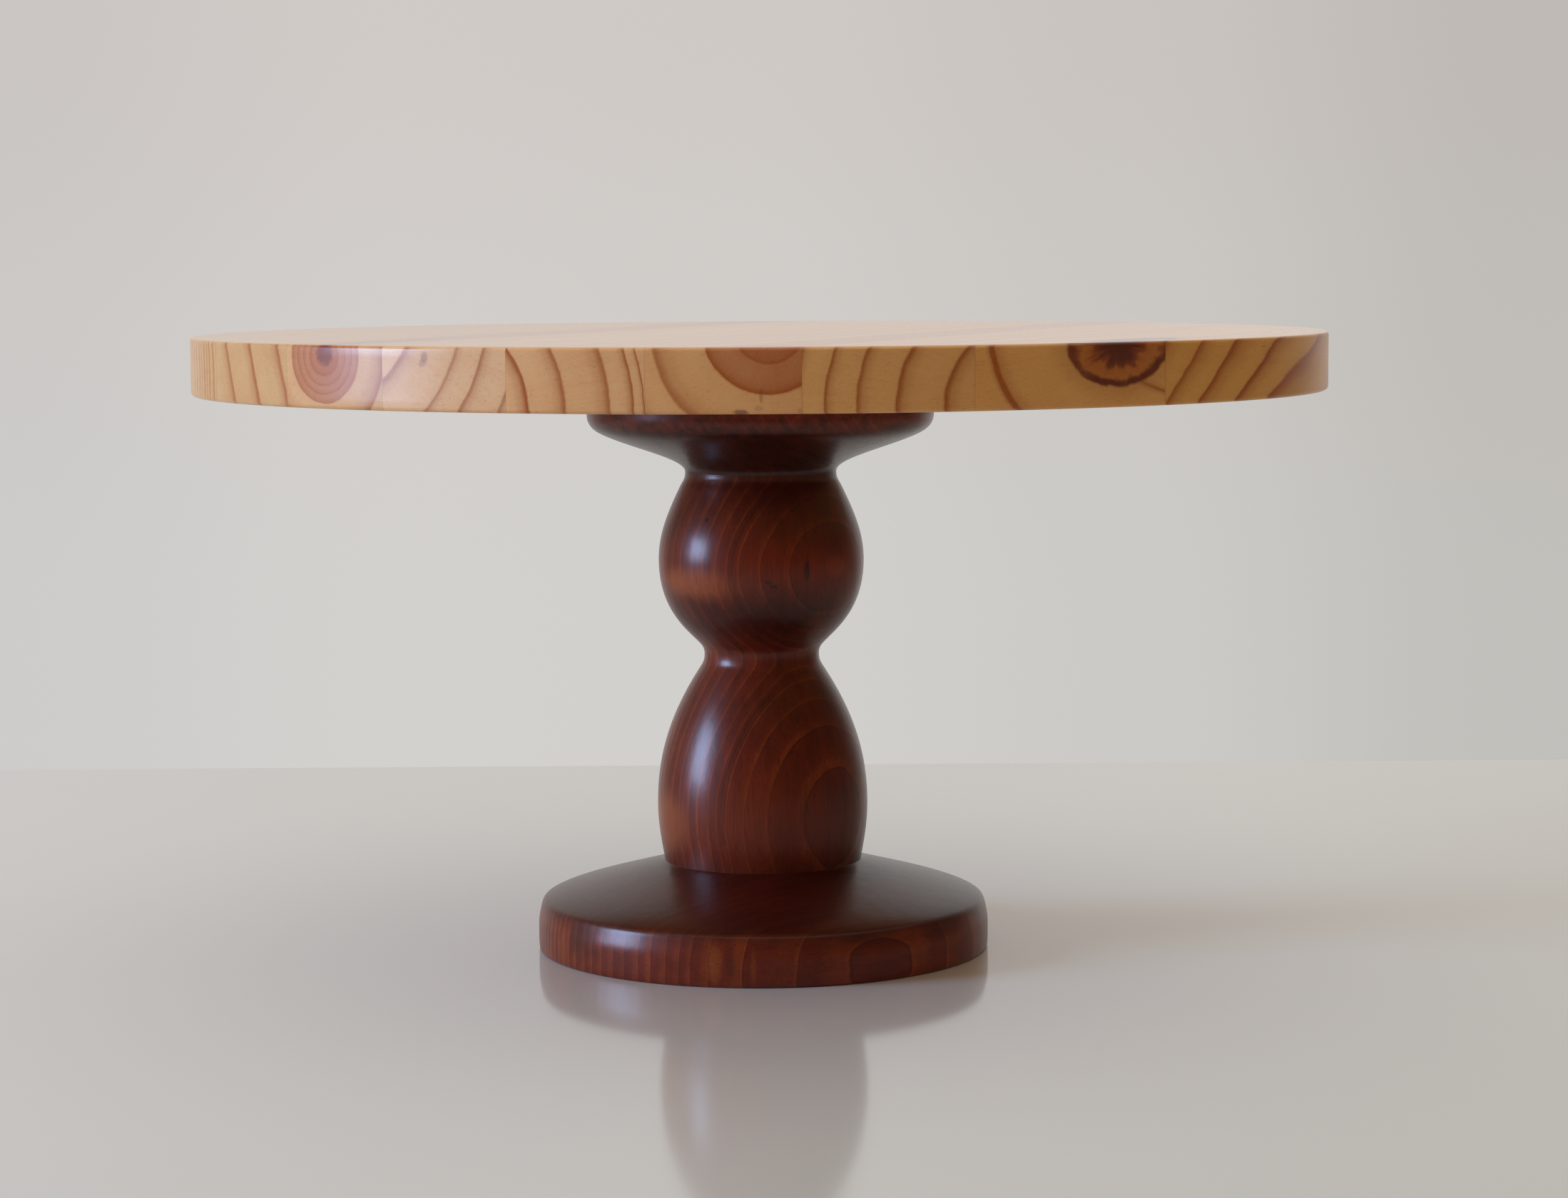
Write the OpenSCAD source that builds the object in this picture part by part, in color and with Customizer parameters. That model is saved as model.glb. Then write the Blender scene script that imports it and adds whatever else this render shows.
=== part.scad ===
// Cake stand: a round softwood board on a turned, stained pedestal.
//
// The board is a row of staves glued edge to edge and cut to a disc.
// The pedestal is three turned pieces: a top flange, a baluster column
// and a base disc. The column's tenons are glued into the flange and the
// base. A hanger bolt in the top tenon screws into a threaded insert in the
// board's underside, and a countersunk screw holds the base to the column.
//
// Millimetres, +Z up, origin at the centre of the base where it stands.

/* [Board] */
// Diameter of the round board
board_d = 355.6; // [340:0.2:380]
// Thickness of the board
board_t = 18; // [16:0.5:22]
// Radius of the eased edge at the board's top and bottom
board_ease = 1.2; // [0.5:0.1:2]
// Width of one stave across the grain
stave_w = 39.4; // [37:0.1:41]
// Where the middle seam lies, across the grain from the centre
seam_offset = -1.5; // [-3:0.1:0]
// Turn of the grain in plan, clockwise from +Y, in degrees
grain_turn = 22; // [0:1:45]

/* [Base disc] */
// Diameter of the base disc
base_d = 143.8; // [130:0.2:160]
// Height of the base disc's upright wall
base_wall_h = 8.4; // [6:0.2:10]
// Height of the base disc where the column stands on it
base_h = 28; // [26:0.5:30]
// Depth of the turned recess under the base
recess_depth = 2; // [1:0.5:3]
// Width of the ring that the base stands on
foot_ring_w = 14; // [8:1:20]

/* [Column] */
// Radius of the lower bulb at its fullest
lower_bulb_r = 33.5; // [30:0.1:36]
// Radius of the waist between the two bulbs
waist_r = 18.25; // [16:0.25:20]
// Radius of the upper bulb at its fullest
upper_bulb_r = 32.6; // [30:0.1:36]
// Radius of the neck under the flange
neck_r = 24; // [22:0.5:26]
// Height of the lower bulb's fullest point above the table
lower_bulb_z = 46; // [44:0.5:48]
// Height of the waist above the table
waist_z = 94; // [92:0.5:96]
// Height of the upper bulb's fullest point above the table
upper_bulb_z = 124; // [122:0.5:126]
// Height of the neck, where the column meets the flange
neck_z = 152; // [150:0.5:154]

/* [Top flange] */
// Diameter of the flange under the board
flange_d = 110; // [100:1:130]
// Thickness of the flange, from the neck to the board
flange_h = 26; // [25:0.5:30]

/* [Joinery] */
// Diameter of the column's turned tenons
tenon_d = 25; // [22:1:30]
// Length of the tenon in the base
base_tenon_l = 17; // [12:1:18]
// Outer diameter of the hanger bolt's machine thread
bolt_d = 8; // [6:1:8]
// Length of the hanger bolt
bolt_l = 48; // [40:1:50]
// Outer diameter of the threaded insert's wood thread
insert_d = 13; // [12:0.5:14]
// Length of the threaded insert
insert_l = 13; // [12:0.5:14]
// Outer diameter of the base screw
screw_d = 6; // [5:0.5:7]
// Length of the base screw
screw_l = 50; // [40:1:55]

/* [Hidden] */

round_fn = 192;
board_z = neck_z + flange_h;      // underside of the board
board_top = board_z + board_t;    // top of the board
board_r = board_d / 2;
base_r = base_d / 2;
flange_r = flange_d / 2;
tenon_r = tenon_d / 2;
tenon_relief = 0.5;               // glue space at the end of a tenon
bolt_embed = bolt_l - insert_l + 1;

// Staves are not all exactly one width: each seam is off its even place by this
seam_trim = [0, 0, -0.5, -2, -1, -1, -0.5, 0, 0];

// Place of seam k (1 to 9) across the grain
function seam(k) = seam_offset + (k - 5) * stave_w + seam_trim[k - 1];
function stave_lo(i) = i == 1 ? -board_r - 2 : seam(i - 1);
function stave_hi(i) = i == 10 ? board_r + 2 : seam(i);

// A quarter arc of radius e about [x, y], from angle a to angle b
function arc(x, y, e, a, b, n = 6) =
    [for (i = [0:n]) let (t = a + (b - a) * i / n) [x + e * cos(t), y + e * sin(t)]];

// A smooth curve through knots of the form
// [radius, height, lean of the tangent from upright, handle in, handle out]
function lean(k) = [sin(k[2]), cos(k[2])];
function bez(a, b, t) =
    let (p0 = [a[0], a[1]], p3 = [b[0], b[1]],
         p1 = p0 + lean(a) * a[4], p2 = p3 - lean(b) * b[3], u = 1 - t)
    u*u*u * p0 + 3*u*u*t * p1 + 3*u*t*t * p2 + t*t*t * p3;
function curve(K, n) = concat(
    [for (i = [0:len(K) - 2], j = [0:n - 1]) bez(K[i], K[i + 1], j / n)],
    [[K[len(K) - 1][0], K[len(K) - 1][1]]]);

// Ridges of a thread drawn as rings: core radius, crest radius, pitch, and
// heights a to b, listed upwards
function ridges(core, crest, pitch, a, b) =
    let (n = floor((b - a) / pitch))
    [for (i = [0:n - 1]) each [
        [core, a + i * pitch],
        [crest, a + (i + 0.4) * pitch],
        [crest, a + (i + 0.5) * pitch],
        [core, a + (i + 0.9) * pitch]]];

module turned(points) rotate_extrude($fn = round_fn) polygon(points);

// ---------- board ----------

module board_blank()
    translate([0, 0, board_z])
        turned(concat(
            [[0, 0]],
            arc(board_r - board_ease, board_ease, board_ease, -90, 0),
            arc(board_r - board_ease, board_t - board_ease, board_ease, 0, 90),
            [[0, board_t]]));

module stave(i)
    intersection() {
        difference() {
            board_blank();
            if (i == 5 || i == 6) insert_space();
        }
        rotate([0, 0, -grain_turn])
            translate([stave_lo(i), -board_d, board_z - 1])
                cube([stave_hi(i) - stave_lo(i), 2 * board_d, board_t + 2]);
    }

module board_stave_1() color("burlywood") stave(1);
module board_stave_2() color("navajowhite") stave(2);
module board_stave_3() color("burlywood") stave(3);
module board_stave_4() color("navajowhite") stave(4);
module board_stave_5() color("burlywood") stave(5);
module board_stave_6() color("navajowhite") stave(6);
module board_stave_7() color("burlywood") stave(7);
module board_stave_8() color("navajowhite") stave(8);
module board_stave_9() color("burlywood") stave(9);
module board_stave_10() color("navajowhite") stave(10);

// ---------- top flange ----------

// Cone from the neck out to a rounded rim with a short upright wall
flange_knots = [
    [neck_r, neck_z, 0, 0, 2],
    [neck_r + 7.6, neck_z + 5.2, 69, 4, 6],
    [flange_r - 6.2, neck_z + 11.4, 67, 6, 4.2],
    [flange_r, neck_z + 18.6, 0, 4, 0]];

module top_flange() color("saddlebrown")
    difference() {
        turned(concat(
            [[0, neck_z]],
            curve(flange_knots, 9),
            [[flange_r, board_z - 0.6], [flange_r - 0.6, board_z], [0, board_z]]));
        translate([0, 0, neck_z - 1]) cylinder(r = tenon_r, h = flange_h + 2, $fn = 96);
    }

// ---------- column ----------

// Foot, lower bulb, waist, upper bulb and neck
column_knots = [
    [lower_bulb_r - 2.1, base_h, 8, 0, 4],
    [lower_bulb_r, lower_bulb_z, 0, 8, 12],
    [waist_r + 2.25, waist_z - 5.7, -32.5, 20, 3],
    [waist_r, waist_z, 0, 2.5, 2],
    [waist_r + 2.4, waist_z + 4.4, 45, 2, 6],
    [upper_bulb_r, upper_bulb_z, 0, 15, 8],
    [neck_r + 2, neck_z - 5.4, -25.5, 9, 3],
    [neck_r, neck_z, 0, 2.5, 0]];

module turned_column() color("maroon")
    difference() {
        turned(concat(
            [[0, base_h - base_tenon_l],
             [tenon_r - 1, base_h - base_tenon_l],
             [tenon_r, base_h - base_tenon_l + 1],
             [tenon_r, base_h]],
            curve(column_knots, 11),
            [[tenon_r, neck_z],
             [tenon_r, board_z - tenon_relief - 1],
             [tenon_r - 1, board_z - tenon_relief],
             [0, board_z - tenon_relief]]));
        bolt_solid();
        screw_solid();
    }

// ---------- base disc ----------

// Upright wall, eased shoulder, low cone and a small cove at the column
base_knots = [
    [base_r, base_wall_h, 0, 0, 4.5],
    [base_r - 2.7, base_wall_h + 8, -62, 2.2, 6],
    [lower_bulb_r + 3.5, base_h - 1.9, -74, 12, 1.5],
    [lower_bulb_r - 2.1, base_h, -48, 1, 0]];

module base_disc() color("maroon")
    difference() {
        turned(concat(
            [[0, 0], [base_r - 0.9, 0]],
            [[base_r - 0.3, 0.5], [base_r - 0.08, 1.4], [base_r, 4]],
            curve(base_knots, 9),
            [[0, base_h]]));
        translate([0, 0, -1])
            cylinder(r = base_r - foot_ring_w, h = recess_depth + 1, $fn = 128);
        translate([0, 0, base_h - base_tenon_l - tenon_relief])
            cylinder(r = tenon_r, h = base_tenon_l + 2, $fn = 96);
        screw_solid();
    }

// ---------- hardware ----------

// Wood thread below, plain shank, machine thread above with a bevelled tip
bolt_z0 = board_z - bolt_embed;
module bolt_solid() {
    r = bolt_d / 2;
    turned(concat(
        [[0, bolt_z0 - 2], [r * 0.3, bolt_z0]],
        ridges(r * 0.72, r, 3, bolt_z0 + 1, bolt_z0 + 25),
        [[r, bolt_z0 + 26],
         [r, bolt_z0 + bolt_l - 1],
         [r - 1, bolt_z0 + bolt_l],
         [0, bolt_z0 + bolt_l]]));
}
module hanger_bolt() color("silver") bolt_solid();

// Brass sleeve with a coarse wood thread outside and the bolt's thread inside
module insert_space()
    turned(concat(
        [[0, board_z - 1], [insert_d / 2 - 1.2, board_z - 1]],
        [[insert_d / 2 - 1.2, board_z + 0.6]],
        ridges(insert_d / 2 - 1.2, insert_d / 2, 3, board_z + 1, board_z + insert_l - 0.8),
        [[insert_d / 2 - 1.2, board_z + insert_l], [0, board_z + insert_l]]));
module threaded_insert() color("goldenrod")
    difference() {
        intersection() {
            insert_space();
            translate([0, 0, board_z]) cylinder(r = insert_d, h = insert_l + 1, $fn = 64);
        }
        translate([0, 0, board_z - 1]) cylinder(r = bolt_d / 2, h = insert_l + 3, $fn = 64);
    }

// Countersunk screw, driven up from the recess; the socket in its head is a cross
module screw_solid() {
    r = screw_d / 2;
    z0 = recess_depth;
    turned(concat(
        [[0, z0 - 0.01], [r * 1.9, z0 - 0.01], [r * 1.9, z0 + 0.4], [r * 0.75, z0 + r * 1.15 + 0.4]],
        [[r * 0.75, z0 + 16]],
        ridges(r * 0.68, r, 2.7, z0 + 16.5, z0 + screw_l - 5),
        [[r * 0.6, z0 + screw_l - 4], [0, z0 + screw_l]]));
}
module base_screw() color("silver")
    difference() {
        screw_solid();
        for (a = [0, 90]) rotate([0, 0, a])
            translate([-screw_d * 0.42, -0.55, recess_depth - 1])
                cube([screw_d * 0.84, 1.1, 2.6]);
    }

board_stave_1();
board_stave_2();
board_stave_3();
board_stave_4();
board_stave_5();
board_stave_6();
board_stave_7();
board_stave_8();
board_stave_9();
board_stave_10();
top_flange();
turned_column();
base_disc();
hanger_bolt();
threaded_insert();
base_screw();
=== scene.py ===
import math

import bmesh
import bpy
from mathutils import Matrix, Vector


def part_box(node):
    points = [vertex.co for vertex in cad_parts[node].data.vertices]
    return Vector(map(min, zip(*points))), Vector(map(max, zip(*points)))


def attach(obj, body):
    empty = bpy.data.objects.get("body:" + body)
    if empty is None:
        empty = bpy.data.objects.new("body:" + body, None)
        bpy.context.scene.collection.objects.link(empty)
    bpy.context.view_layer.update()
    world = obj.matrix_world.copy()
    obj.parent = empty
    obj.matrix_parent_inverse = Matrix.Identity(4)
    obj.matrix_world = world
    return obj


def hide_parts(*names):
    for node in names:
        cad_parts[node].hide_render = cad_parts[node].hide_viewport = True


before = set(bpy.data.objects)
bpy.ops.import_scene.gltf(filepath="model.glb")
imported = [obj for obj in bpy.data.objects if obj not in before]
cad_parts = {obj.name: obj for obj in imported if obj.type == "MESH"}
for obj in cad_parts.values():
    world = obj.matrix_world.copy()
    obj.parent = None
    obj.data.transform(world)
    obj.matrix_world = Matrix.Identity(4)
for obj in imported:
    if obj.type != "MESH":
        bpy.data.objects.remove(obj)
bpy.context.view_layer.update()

MM = 0.001

scene = bpy.context.scene
scene.view_settings.view_transform = "Standard"
scene.view_settings.look = "None"
scene.view_settings.exposure = 0.0
scene.view_settings.gamma = 1.0

# ---------------------------------------------------------------- sizes (mm)
_, _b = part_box("board_stave_6")
BOARD_TOP = round(_b.z / MM, 3)
BOARD_LOW = round(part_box("board_stave_6")[0].z / MM, 3)
BOARD_R = round(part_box("board_stave_10")[1].x / MM, 1)
EASE = 1.2
GRAIN = math.radians(22.0)
SEAMS = [-1.5 + (k - 5) * 39.4 + t for k, t in zip(range(1, 10), [0, 0, -0.5, -2, -1, -1, -0.5, 0, 0])]
BASE_R, BASE_H = 71.9, 28.0
NECK_Z = round(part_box("top_flange")[0].z / MM, 3)
FLANGE_R = 55.0
TENON_R = 12.5


# ---------------------------------------------------------------- profiles
def bez_chain(knots, n):
    """Points of a smooth curve through knots (radius, height, lean from upright, handle in, handle out)."""
    out = []
    for a, b in zip(knots[:-1], knots[1:]):
        p0, p3 = Vector((a[0], a[1])), Vector((b[0], b[1]))
        ta = Vector((math.sin(math.radians(a[2])), math.cos(math.radians(a[2]))))
        tb = Vector((math.sin(math.radians(b[2])), math.cos(math.radians(b[2]))))
        p1, p2 = p0 + ta * a[4], p3 - tb * b[3]
        for i in range(n):
            t = i / n
            u = 1 - t
            q = p0 * u**3 + p1 * (3 * u * u * t) + p2 * (3 * u * t * t) + p3 * t**3
            out.append((q.x, q.y))
    out.append((knots[-1][0], knots[-1][1]))
    return out


def arc(x, y, r, a, b, n=6):
    return [(x + r * math.cos(math.radians(a + (b - a) * i / n)), y + r * math.sin(math.radians(a + (b - a) * i / n))) for i in range(n + 1)]


COLUMN = [(31.4, 28, 8, 0, 4), (33.5, 46, 0, 8, 12), (20.5, 88.3, -32.5, 20, 3), (18.25, 94, 0, 2.5, 2),
          (20.65, 98.4, 45, 2, 6), (32.6, 124, 0, 15, 8), (26, 146.6, -25.5, 9, 3), (24, 152, 0, 2.5, 0)]
FLANGE = [(24, 152, 0, 0, 2), (31.6, 157.2, 69, 4, 6), (48.8, 163.4, 67, 6, 4.2), (55, 170.6, 0, 4, 0)]
BASE = [(71.9, 6.4, 0, 0, 3.0), (71.15, 13.0, -13, 3.0, 1.6), (69.2, 16.4, -62, 1.7, 6), (37, 26.1, -74, 12, 1.5), (31.4, 28, -48, 1, 0)]


# ---------------------------------------------------------------- mesh builders
def finish_mesh(name, bm, mat, angle=32.0):
    me = bpy.data.meshes.new(name)
    bmesh.ops.recalc_face_normals(bm, faces=bm.faces)
    bm.to_mesh(me)
    bm.free()
    for p in me.polygons:
        p.use_smooth = True
    me.set_sharp_from_angle(angle=math.radians(angle))
    ob = bpy.data.objects.new(name, me)
    scene.collection.objects.link(ob)
    me.materials.append(mat)
    return ob


def lathe(bm, prof, segs, closed_loop):
    """Turns a profile of (radius, height) in mm about Z. A closed loop makes a ring-shaped solid;
    otherwise the profile starts and ends on the axis."""
    rings = []
    for r, z in prof:
        if r < 1e-6:
            rings.append([bm.verts.new((0, 0, z * MM))])
        else:
            rings.append([bm.verts.new((r * MM * math.cos(2 * math.pi * j / segs), r * MM * math.sin(2 * math.pi * j / segs), z * MM)) for j in range(segs)])
    pairs = list(zip(rings[:-1], rings[1:]))
    if closed_loop:
        pairs.append((rings[-1], rings[0]))
    for a, b in pairs:
        for j in range(segs):
            k = (j + 1) % segs
            if len(a) == 1 and len(b) == 1:
                continue
            if len(a) == 1:
                bm.faces.new((a[0], b[j], b[k]))
            elif len(b) == 1:
                bm.faces.new((a[j], a[k], b[0]))
            else:
                bm.faces.new((a[j], a[k], b[k], b[j]))


def turned(name, prof, mat, segs=256, closed_loop=True):
    bm = bmesh.new()
    lathe(bm, prof, segs, closed_loop)
    return finish_mesh(name, bm, mat)


# ---------------------------------------------------------------- node helpers
class T:
    """A material's node tree with short ways to add nodes."""

    def __init__(self, name):
        self.m = bpy.data.materials.new(name)
        self.m.use_nodes = True
        self.t = self.m.node_tree
        self.t.nodes.clear()
        self.out = self.t.nodes.new("ShaderNodeOutputMaterial")
        self.bsdf = self.t.nodes.new("ShaderNodeBsdfPrincipled")
        self.t.links.new(self.bsdf.outputs[0], self.out.inputs[0])

    def put(self, sock, v):
        if isinstance(v, bpy.types.NodeSocket):
            self.t.links.new(v, sock)
        else:
            sock.default_value = v

    def node(self, kind, **props):
        n = self.t.nodes.new(kind)
        for k, v in props.items():
            setattr(n, k, v)
        return n

    def math(self, op, a, b=None, c=None, clamp=False):
        n = self.node("ShaderNodeMath", operation=op, use_clamp=clamp)
        self.put(n.inputs[0], a)
        if b is not None:
            self.put(n.inputs[1], b)
        if c is not None:
            self.put(n.inputs[2], c)
        return n.outputs[0]

    def vec(self, op, a, b=None, scale=None):
        n = self.node("ShaderNodeVectorMath", operation=op)
        self.put(n.inputs[0], a)
        if b is not None:
            self.put(n.inputs[1], b)
        if scale is not None:
            self.put(n.inputs["Scale"], scale)
        return n.outputs["Value"] if op in ("LENGTH", "DOT_PRODUCT", "DISTANCE") else n.outputs["Vector"]

    def xyz(self, x, y, z):
        n = self.node("ShaderNodeCombineXYZ")
        for s, v in zip(n.inputs, (x, y, z)):
            self.put(s, v)
        return n.outputs[0]

    def split(self, v):
        n = self.node("ShaderNodeSeparateXYZ")
        self.put(n.inputs[0], v)
        return n.outputs

    def mapping(self, v, loc=(0, 0, 0), rot=(0, 0, 0), scale=(1, 1, 1)):
        n = self.node("ShaderNodeMapping")
        self.put(n.inputs["Vector"], v)
        n.inputs["Location"].default_value = loc
        n.inputs["Rotation"].default_value = rot
        n.inputs["Scale"].default_value = scale
        return n.outputs[0]

    def noise(self, v, scale=1.0, detail=2.0, rough=0.5, dist=0.0):
        n = self.node("ShaderNodeTexNoise")
        self.put(n.inputs["Vector"], v)
        n.inputs["Scale"].default_value = scale
        n.inputs["Detail"].default_value = detail
        n.inputs["Roughness"].default_value = rough
        n.inputs["Distortion"].default_value = dist
        return n.outputs["Fac"]

    def voronoi(self, v, scale=1.0, feature="F1", rnd=1.0):
        n = self.node("ShaderNodeTexVoronoi", feature=feature)
        self.put(n.inputs["Vector"], v)
        n.inputs["Scale"].default_value = scale
        n.inputs["Randomness"].default_value = rnd
        return n

    def ramp(self, f, stops, mode="LINEAR"):
        n = self.node("ShaderNodeValToRGB")
        self.put(n.inputs[0], f)
        cr = n.color_ramp
        cr.interpolation = mode
        while len(cr.elements) < len(stops):
            cr.elements.new(0.5)
        for e, (p, c) in zip(cr.elements, stops):
            e.position = p
            e.color = (c[0], c[1], c[2], 1) if hasattr(c, "__len__") else (c, c, c, 1)
        return n.outputs[0]

    def smooth(self, v, a, b):
        n = self.node("ShaderNodeMapRange", interpolation_type="SMOOTHSTEP")
        self.put(n.inputs["Value"], v)
        n.inputs["From Min"].default_value = a
        n.inputs["From Max"].default_value = b
        return n.outputs["Result"]

    def range(self, v, a, b, c, d, clamp=True):
        n = self.node("ShaderNodeMapRange")
        n.clamp = clamp
        self.put(n.inputs["Value"], v)
        for k, x in zip(("From Min", "From Max", "To Min", "To Max"), (a, b, c, d)):
            n.inputs[k].default_value = x
        return n.outputs["Result"]

    def mix(self, f, a, b, blend="MIX"):
        n = self.node("ShaderNodeMix", data_type="RGBA", blend_type=blend)
        self.put(n.inputs[0], f)
        for i, v in ((6, a), (7, b)):
            self.put(n.inputs[i], v if isinstance(v, bpy.types.NodeSocket) else (v[0], v[1], v[2], 1))
        return n.outputs[2]

    def curve(self, v, pts):
        """A number run through straight lines between points, all from 0 to 1."""
        n = self.node("ShaderNodeFloatCurve")
        self.put(n.inputs["Value"], v)
        c = n.mapping.curves[0]
        while len(c.points) < len(pts):
            c.points.new(0.5, 0.5)
        for p, (x, y) in zip(c.points, pts):
            p.location = (x, y)
            p.handle_type = "VECTOR"
        n.mapping.use_clip = False
        n.mapping.update()
        return n.outputs[0]

    def bump(self, height, strength, dist, normal=None):
        n = self.node("ShaderNodeBump")
        n.inputs["Strength"].default_value = strength
        n.inputs["Distance"].default_value = dist
        self.put(n.inputs["Height"], height)
        if normal is not None:
            self.put(n.inputs["Normal"], normal)
        return n.outputs[0]


def ring_phase(t, r, lines):
    """How many growth-ring lines lie inside radius r (mm), with a line at each radius in lines."""
    lo, hi, n = lines[0], lines[-1], len(lines)
    x = t.range(r, lo, hi, 0, 1)
    pts = [((v - lo) / (hi - lo), i / (n - 1)) for i, v in enumerate(lines)]
    return t.math("MULTIPLY", t.curve(x, pts), float(n - 1))


def spots(t, p, base, marks):
    """Dark marks in the wood: each is centre, half lengths, colour and strength, in mm."""
    col = base
    for c, h, tint, k in marks:
        d = t.vec("LENGTH", t.mapping(t.vec("SUBTRACT", p, c), scale=tuple(1 / x for x in h)))
        wob = t.noise(t.mapping(p, scale=(0.9, 0.9, 0.9)), 1.0, 2)
        d = t.math("ADD", d, t.math("MULTIPLY", t.math("SUBTRACT", wob, 0.5), 0.7))
        f = t.math("MULTIPLY", t.smooth(d, 1.15, 0.55), k)
        col = t.mix(f, col, tint)
    return col


# ---------------------------------------------------------------- pine board
PALE = (0.870, 0.445, 0.146)
WARM = (0.770, 0.330, 0.080)
LATE = (0.450, 0.100, 0.013)
HEART = (0.510, 0.132, 0.034)


def fill(lines, lo, hi, gap):
    """Continues a list of ring radii evenly to both ends of the stave."""
    out = list(lines)
    while out[0] > lo and out[0] - gap > 0:
        out.insert(0, out[0] - gap)
    while out[-1] < hi:
        out.append(out[-1] + gap)
    return out


def pine(name, seed, centre, lines, grow=1, tilt=(0.0, 0.0), late=1.0, tone=0.0, even=0.45,
         heart=None, line_w=0.16, marks=(), knot=None, seams=(None, None), tint=(1, 1, 1), seam_face=(0.12, 0.12),
         swing=0.0, gloss=0.66):
    t = T(name)
    obj = t.node("ShaderNodeTexCoord").outputs["Object"]
    p = t.mapping(obj, rot=(0, 0, GRAIN), scale=(1000, 1000, 1000))
    s, along, z = t.split(p)[0], t.split(p)[1], t.split(p)[2]
    flat = t.vec("MULTIPLY", p, (1, 1, 0))
    depth = t.math("SUBTRACT", BOARD_R, t.vec("LENGTH", flat))
    # slow wander of the growth rings, small at the rim and freer further in
    q = t.mapping(p, loc=(seed * 37.0, seed * 11.0, seed * 5.0), scale=(0.030, 0.0045, 0.030))
    amp = t.range(depth, 0, 110, 0.35, 7.0)
    w1 = t.math("MULTIPLY", t.math("SUBTRACT", t.noise(q, 1.0, 2.0), 0.5), amp)
    w2 = t.math("MULTIPLY", t.math("SUBTRACT", t.noise(t.vec("ADD", q, (9.1, 4.7, 2.3)), 1.0, 2.0), 0.5), amp)
    if swing:
        w1 = t.math("MULTIPLY_ADD", t.smooth(along, -12.0, 70.0), swing, w1)
    face = t.smooth(z, BOARD_TOP - 0.5, BOARD_TOP - 0.05)
    cut = t.math("SUBTRACT", 1.0, face)
    ds = t.math("SUBTRACT", t.math("ADD", s, w1), t.math("MULTIPLY_ADD", depth, tilt[0], centre[0]))
    dz = t.math("SUBTRACT", t.math("ADD", z, w2), t.math("MULTIPLY_ADD", depth, tilt[1], centre[1]))
    r = t.math("SQRT", t.math("ADD", t.math("MULTIPLY", ds, ds), t.math("MULTIPLY", dz, dz)))
    fine = t.noise(t.mapping(p, loc=(seed * 3.0, 0, 0), scale=(0.16, 0.012, 0.16)), 1.0, 3.0, 0.55)
    r = t.math("ADD", r, t.math("MULTIPLY", t.math("SUBTRACT", fine, 0.5), 1.0))
    kn = None
    if knot:
        (ks, kt, kz), (hs, ht, hz) = knot
        kd = t.vec("LENGTH", t.mapping(t.vec("SUBTRACT", p, (ks, kt, kz)), scale=(1 / hs, 1 / ht, 1 / hz)))
        rag = t.noise(t.mapping(p, scale=(0.24, 0.24, 0.24)), 1.0, 3.0, 0.5)
        kn = t.math("ADD", kd, t.math("MULTIPLY", t.math("SUBTRACT", rag, 0.5), 0.14))
        r = t.math("ADD", r, t.math("MULTIPLY", t.smooth(kd, 2.4, 0.8), 1.6))
    phase = ring_phase(t, r, lines)
    fr = t.math("FRACT", phase)
    if grow < 0:
        fr = t.math("SUBTRACT", 1.0, fr)
    which = t.math("FLOOR", phase)
    wn = t.node("ShaderNodeTexWhiteNoise", noise_dimensions="1D")
    t.put(wn.inputs["W"], t.math("ADD", which, seed * 7.31))
    strength = t.range(wn.outputs["Value"], 0, 1, 0.76 * late, late)
    prof = t.ramp(fr, [(0.0, 0.42), (0.04, 0.06), (0.30, 0.0), (1 - 2.3 * line_w, 0.07), (1 - line_w, 0.42), (0.945, 1.0), (0.98, 0.96), (1.0, 0.42)])
    f = t.math("MULTIPLY", t.math("MULTIPLY", prof, strength), t.range(cut, 0, 1, 0.38, 1.0))
    blot = t.noise(t.mapping(p, loc=(seed * 2.1, 0, 0), scale=(0.06, 0.006, 0.06)), 1.0, 3.0, 0.55)
    col = t.mix(t.range(blot, 0.28, 0.72, max(0.0, tone - 0.2), min(1.0, tone + 0.35)), PALE, WARM)
    # the tint lies fully on the cut rim: partly each stave's own tone, partly painted reflection, the strong blue on
    # staves 5 to 7 standing in for the window's bluish sheen
    col = t.mix(t.range(cut, 0, 1, 0.40, 1.0), col, t.mix(1.0, col, tint, "MULTIPLY"))
    if heart:
        hr, hk = heart
        core = t.range(t.smooth(r, hr * 0.52, hr * 0.40), 0, 1, 0.82, 1.0)
        haze = t.math("MULTIPLY", t.range(blot, 0.3, 0.7, 0.85, 1.1), t.range(cut, 0, 1, 0.52, 1.0))
        col = t.mix(t.math("MULTIPLY", t.math("MULTIPLY", t.smooth(r, hr + 0.6, hr - 0.6), core), t.math("MULTIPLY", haze, hk), clamp=True), col, HEART)
    col = t.mix(f, col, LATE)
    # fibres: streaks along the board, fine speckle on the cut ends
    fib = t.noise(t.mapping(p, loc=(seed, 0, 0), scale=(2.6, 0.035, 2.6)), 1.0, 3.0, 0.62)
    col = t.mix(t.range(cut, 0, 1, 0.12, 0.55), col, t.ramp(fib, [(0.30, 0.38), (0.5, 0.5), (0.74, 0.58)]), "OVERLAY")
    # faint rays running out from the pith
    ang = t.math("ARCTAN2", dz, ds)
    ray = t.noise(t.xyz(t.math("MULTIPLY", ang, 60.0), t.math("MULTIPLY", r, 0.10), t.math("MULTIPLY", along, 0.02)), 1.0, 2.0, 0.6)
    col = t.mix(t.math("MULTIPLY", cut, 0.40), col, t.ramp(ray, [(0.30, 0.42), (0.5, 0.5), (0.72, 0.56)]), "OVERLAY")
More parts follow.
